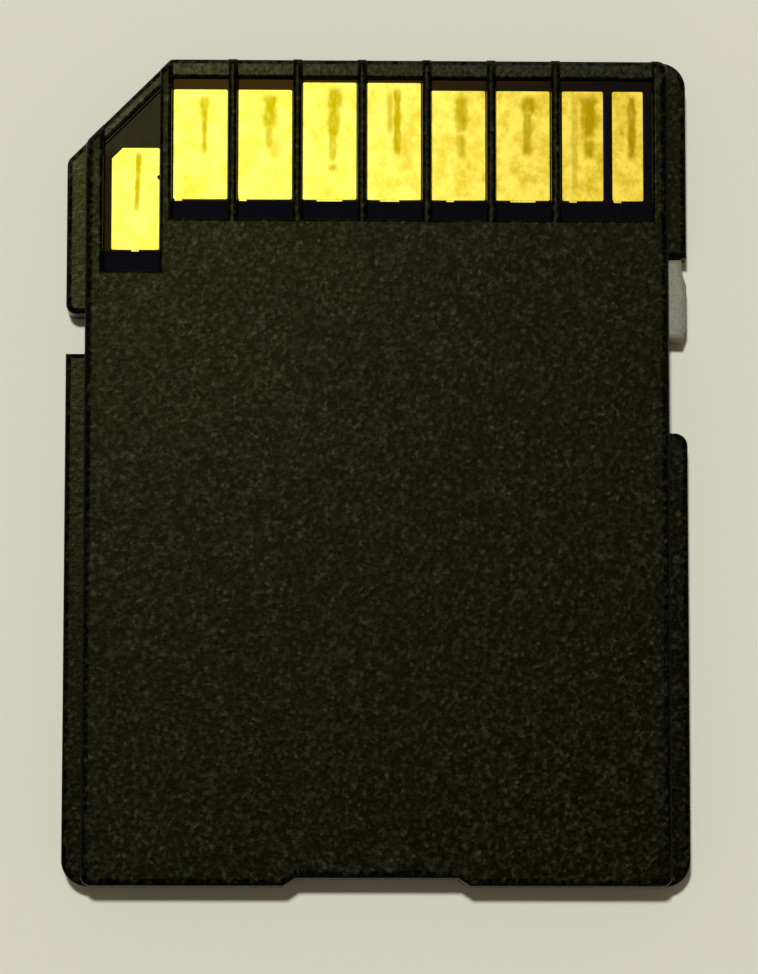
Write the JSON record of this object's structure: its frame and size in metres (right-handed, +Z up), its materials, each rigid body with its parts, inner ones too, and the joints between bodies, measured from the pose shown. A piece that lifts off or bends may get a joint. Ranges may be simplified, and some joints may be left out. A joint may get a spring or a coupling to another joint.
{
  "type": "sd memory card",
  "caption": "Flat rectangular memory card with a cut corner, stepped side rails, gold contacts in ribbed windows and a sliding write-protect switch.",
  "frame": {"origin": "middle of the label face, on the surface that the card lies on", "axes": "+X across the card towards the write-protect slider, +Y along it towards the contact edge, +Z up out of the contact face"},
  "size_m": [0.024, 0.032, 0.0021],
  "materials": {
    "case_plastic": "spark-eroded matte",
    "slider_plastic": "satin",
    "board_laminate": "black solder mask",
    "gold_plating": "bright plating with rub marks",
    "chip_epoxy": "matte moulding compound",
    "tinned_leads": "tin plating",
    "capacitor_ceramic": "fired ceramic with tinned ends",
    "resistor_ceramic": "glazed ceramic with tinned ends"
  },
  "bodies": {
    "card": {"front_cover": "case_plastic", "rear_cover": "case_plastic", "circuit_board": "board_laminate", "flash_package": "chip_epoxy", "flash_leads": "tinned_leads", "controller_chip": "chip_epoxy", "contact_1": "gold_plating", "contact_2": "gold_plating", "contact_3": "gold_plating", "contact_4": "gold_plating", "contact_5": "gold_plating", "contact_6": "gold_plating", "contact_7": "gold_plating", "contact_8": "gold_plating", "contact_9": "gold_plating", "capacitor_1": "capacitor_ceramic", "capacitor_2": "capacitor_ceramic", "capacitor_3": "capacitor_ceramic", "capacitor_4": "capacitor_ceramic", "resistor_1": "resistor_ceramic", "resistor_2": "resistor_ceramic", "resistor_3": "resistor_ceramic", "resistor_4": "resistor_ceramic", "resistor_5": "resistor_ceramic"},
    "slider": {"write_protect_slider": "slider_plastic"}
  },
  "joints": [
    {"name": "write_protect_slide", "type": "slide", "parent": "card", "child": "slider", "axis": [0, 1, 0], "range_m": [-0.0036, 0]}
  ]
}
